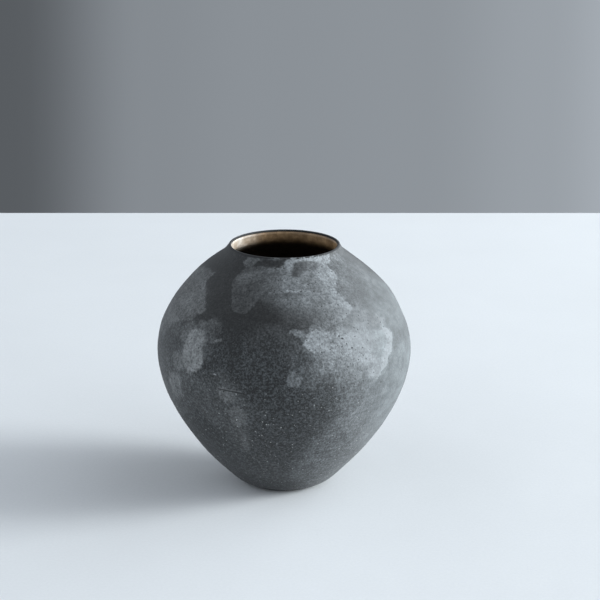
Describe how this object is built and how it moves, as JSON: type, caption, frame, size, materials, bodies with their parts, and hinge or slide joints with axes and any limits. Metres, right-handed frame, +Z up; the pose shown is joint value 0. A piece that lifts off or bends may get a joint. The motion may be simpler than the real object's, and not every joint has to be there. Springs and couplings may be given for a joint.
{
  "type": "stoneware vase",
  "caption": "Hand-thrown globular stoneware vase: wide shoulder tapering to a small foot ring, narrow mouth with a short collar, dark mottled slip outside and a tan glaze lining inside",
  "frame": {"origin": "centre of the footprint, on the plane that the foot ring stands on", "axes": "+Z up along the axis that the pot was turned about; X and Y lie in the plane it stands on and are equivalent"},
  "size_m": [0.16, 0.16, 0.157],
  "materials": {
    "stoneware": "matte",
    "slip": "satin",
    "liner": "satin"
  },
  "bodies": {
    "root": {"stoneware_body": "stoneware", "outer_slip": "slip", "liner_glaze": "liner"}
  },
  "joints": []
}
